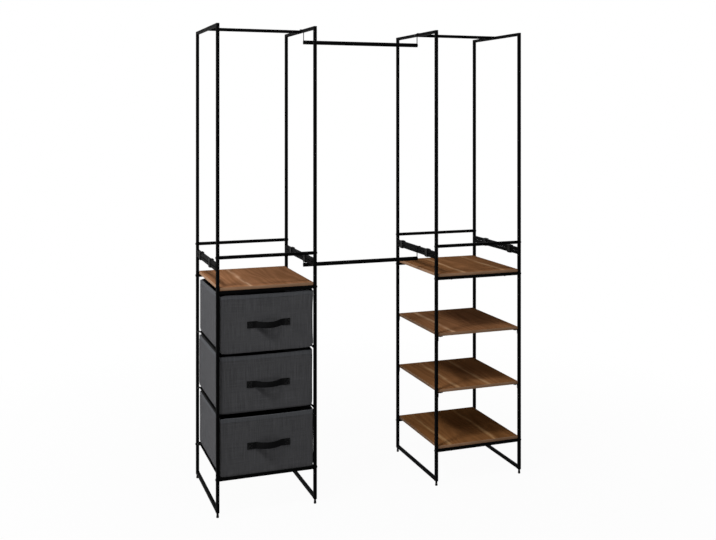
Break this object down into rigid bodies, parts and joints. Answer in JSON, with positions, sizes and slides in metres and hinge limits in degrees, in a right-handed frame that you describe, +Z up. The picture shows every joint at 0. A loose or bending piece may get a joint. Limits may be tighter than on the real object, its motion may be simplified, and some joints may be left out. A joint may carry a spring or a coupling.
{
  "type": "open frame wardrobe",
  "caption": "Open frame wardrobe of slim black square tube: a tower of soft fabric drawers and a tower of wood shelves, joined by hanging rods across an open bay.",
  "frame": {"origin": "on the floor, under the middle of the wardrobe", "axes": "+Z up, +X to the right seen from the front, +Y from the front to the back"},
  "size_m": [1.262, 0.412, 1.8018],
  "materials": {
    "black_steel": "satin black powder coat",
    "walnut_board": "walnut brown laminate on particle board",
    "charcoal_fabric": "charcoal linen weave over stiffened walls",
    "black_webbing": "black webbing",
    "fibre_board": "fibre board covered in dark cloth",
    "black_plastic": "matte black moulding",
    "black_fixings": "black coated steel"
  },
  "bodies": {
    "frame": {"left_tower_left_lower_frame": "black_steel", "left_tower_left_upper_frame": "black_steel", "left_tower_right_lower_frame": "black_steel", "left_tower_right_upper_frame": "black_steel", "left_tower_bottom_front_bar": "black_steel", "left_tower_bottom_rear_bar": "black_steel", "left_tower_shelf_front_bar": "black_steel", "left_tower_shelf_rear_bar": "black_steel", "left_tower_upper_front_bar": "black_steel", "left_tower_upper_rear_bar": "black_steel", "left_tower_top_rod": "black_steel", "right_tower_left_lower_frame": "black_steel", "right_tower_left_upper_frame": "black_steel", "right_tower_right_lower_frame": "black_steel", "right_tower_right_upper_frame": "black_steel", "right_tower_bottom_front_bar": "black_steel", "right_tower_bottom_rear_bar": "black_steel", "right_tower_shelf_front_bar": "black_steel", "right_tower_shelf_rear_bar": "black_steel", "right_tower_upper_front_bar": "black_steel", "right_tower_upper_rear_bar": "black_steel", "right_tower_top_rod": "black_steel", "left_tower_shelf": "walnut_board", "right_tower_shelf_1": "walnut_board", "right_tower_shelf_4": "walnut_board", "right_tower_shelf_3": "walnut_board", "right_tower_shelf_2": "walnut_board", "top_drawer_runners": "black_steel", "middle_drawer_runners": "black_steel", "bottom_drawer_runners": "black_steel", "shelf_brackets": "black_steel", "stacking_clips": "black_plastic", "post_connectors": "black_plastic", "bar_end_plugs": "black_plastic", "foot_inserts": "black_plastic", "frame_bolts": "black_fixings", "post_screws": "black_fixings", "shelf_board_screws": "black_fixings", "bracket_board_screws": "black_fixings"},
    "top_drawer": {"top_drawer_bin": "charcoal_fabric", "top_drawer_base_board": "fibre_board", "top_drawer_handle": "black_webbing"},
    "middle_drawer": {"middle_drawer_bin": "charcoal_fabric", "middle_drawer_base_board": "fibre_board", "middle_drawer_handle": "black_webbing"},
    "bottom_drawer": {"bottom_drawer_bin": "charcoal_fabric", "bottom_drawer_base_board": "fibre_board", "bottom_drawer_handle": "black_webbing"},
    "upper_hanging_rod_body": {"upper_hanging_rod": "black_steel"},
    "lower_hanging_rod_body": {"lower_hanging_rod": "black_steel"},
    "left_tower_front_left_foot_body": {"left_tower_front_left_foot": "black_plastic"},
    "left_tower_front_right_foot_body": {"left_tower_front_right_foot": "black_plastic"},
    "left_tower_rear_left_foot_body": {"left_tower_rear_left_foot": "black_plastic"},
    "left_tower_rear_right_foot_body": {"left_tower_rear_right_foot": "black_plastic"},
    "right_tower_front_left_foot_body": {"right_tower_front_left_foot": "black_plastic"},
    "right_tower_front_right_foot_body": {"right_tower_front_right_foot": "black_plastic"},
    "right_tower_rear_left_foot_body": {"right_tower_rear_left_foot": "black_plastic"},
    "right_tower_rear_right_foot_body": {"right_tower_rear_right_foot": "black_plastic"}
  },
  "joints": [
    {"name": "top_drawer_slide", "type": "slide", "parent": "frame", "child": "top_drawer", "axis": [0, -1, 0], "range_m": [0, 0.28]},
    {"name": "middle_drawer_slide", "type": "slide", "parent": "frame", "child": "middle_drawer", "axis": [0, -1, 0], "range_m": [0, 0.28]},
    {"name": "bottom_drawer_slide", "type": "slide", "parent": "frame", "child": "bottom_drawer", "axis": [0, -1, 0], "range_m": [0, 0.28]},
    {"name": "upper_hanging_rod_lift", "type": "slide", "parent": "frame", "child": "upper_hanging_rod_body", "axis": [0, 0, 1], "range_m": [0, 0.03]},
    {"name": "lower_hanging_rod_lift", "type": "slide", "parent": "frame", "child": "lower_hanging_rod_body", "axis": [0, 0, 1], "range_m": [0, 0.03]},
    {"name": "left_tower_front_left_foot_screw", "type": "slide", "parent": "frame", "child": "left_tower_front_left_foot_body", "axis": [0, 0, -1], "range_m": [0, 0.012]},
    {"name": "left_tower_front_right_foot_screw", "type": "slide", "parent": "frame", "child": "left_tower_front_right_foot_body", "axis": [0, 0, -1], "range_m": [0, 0.012]},
    {"name": "left_tower_rear_left_foot_screw", "type": "slide", "parent": "frame", "child": "left_tower_rear_left_foot_body", "axis": [0, 0, -1], "range_m": [0, 0.012]},
    {"name": "left_tower_rear_right_foot_screw", "type": "slide", "parent": "frame", "child": "left_tower_rear_right_foot_body", "axis": [0, 0, -1], "range_m": [0, 0.012]},
    {"name": "right_tower_front_left_foot_screw", "type": "slide", "parent": "frame", "child": "right_tower_front_left_foot_body", "axis": [0, 0, -1], "range_m": [0, 0.012]},
    {"name": "right_tower_front_right_foot_screw", "type": "slide", "parent": "frame", "child": "right_tower_front_right_foot_body", "axis": [0, 0, -1], "range_m": [0, 0.012]},
    {"name": "right_tower_rear_left_foot_screw", "type": "slide", "parent": "frame", "child": "right_tower_rear_left_foot_body", "axis": [0, 0, -1], "range_m": [0, 0.012]},
    {"name": "right_tower_rear_right_foot_screw", "type": "slide", "parent": "frame", "child": "right_tower_rear_right_foot_body", "axis": [0, 0, -1], "range_m": [0, 0.012]}
  ]
}
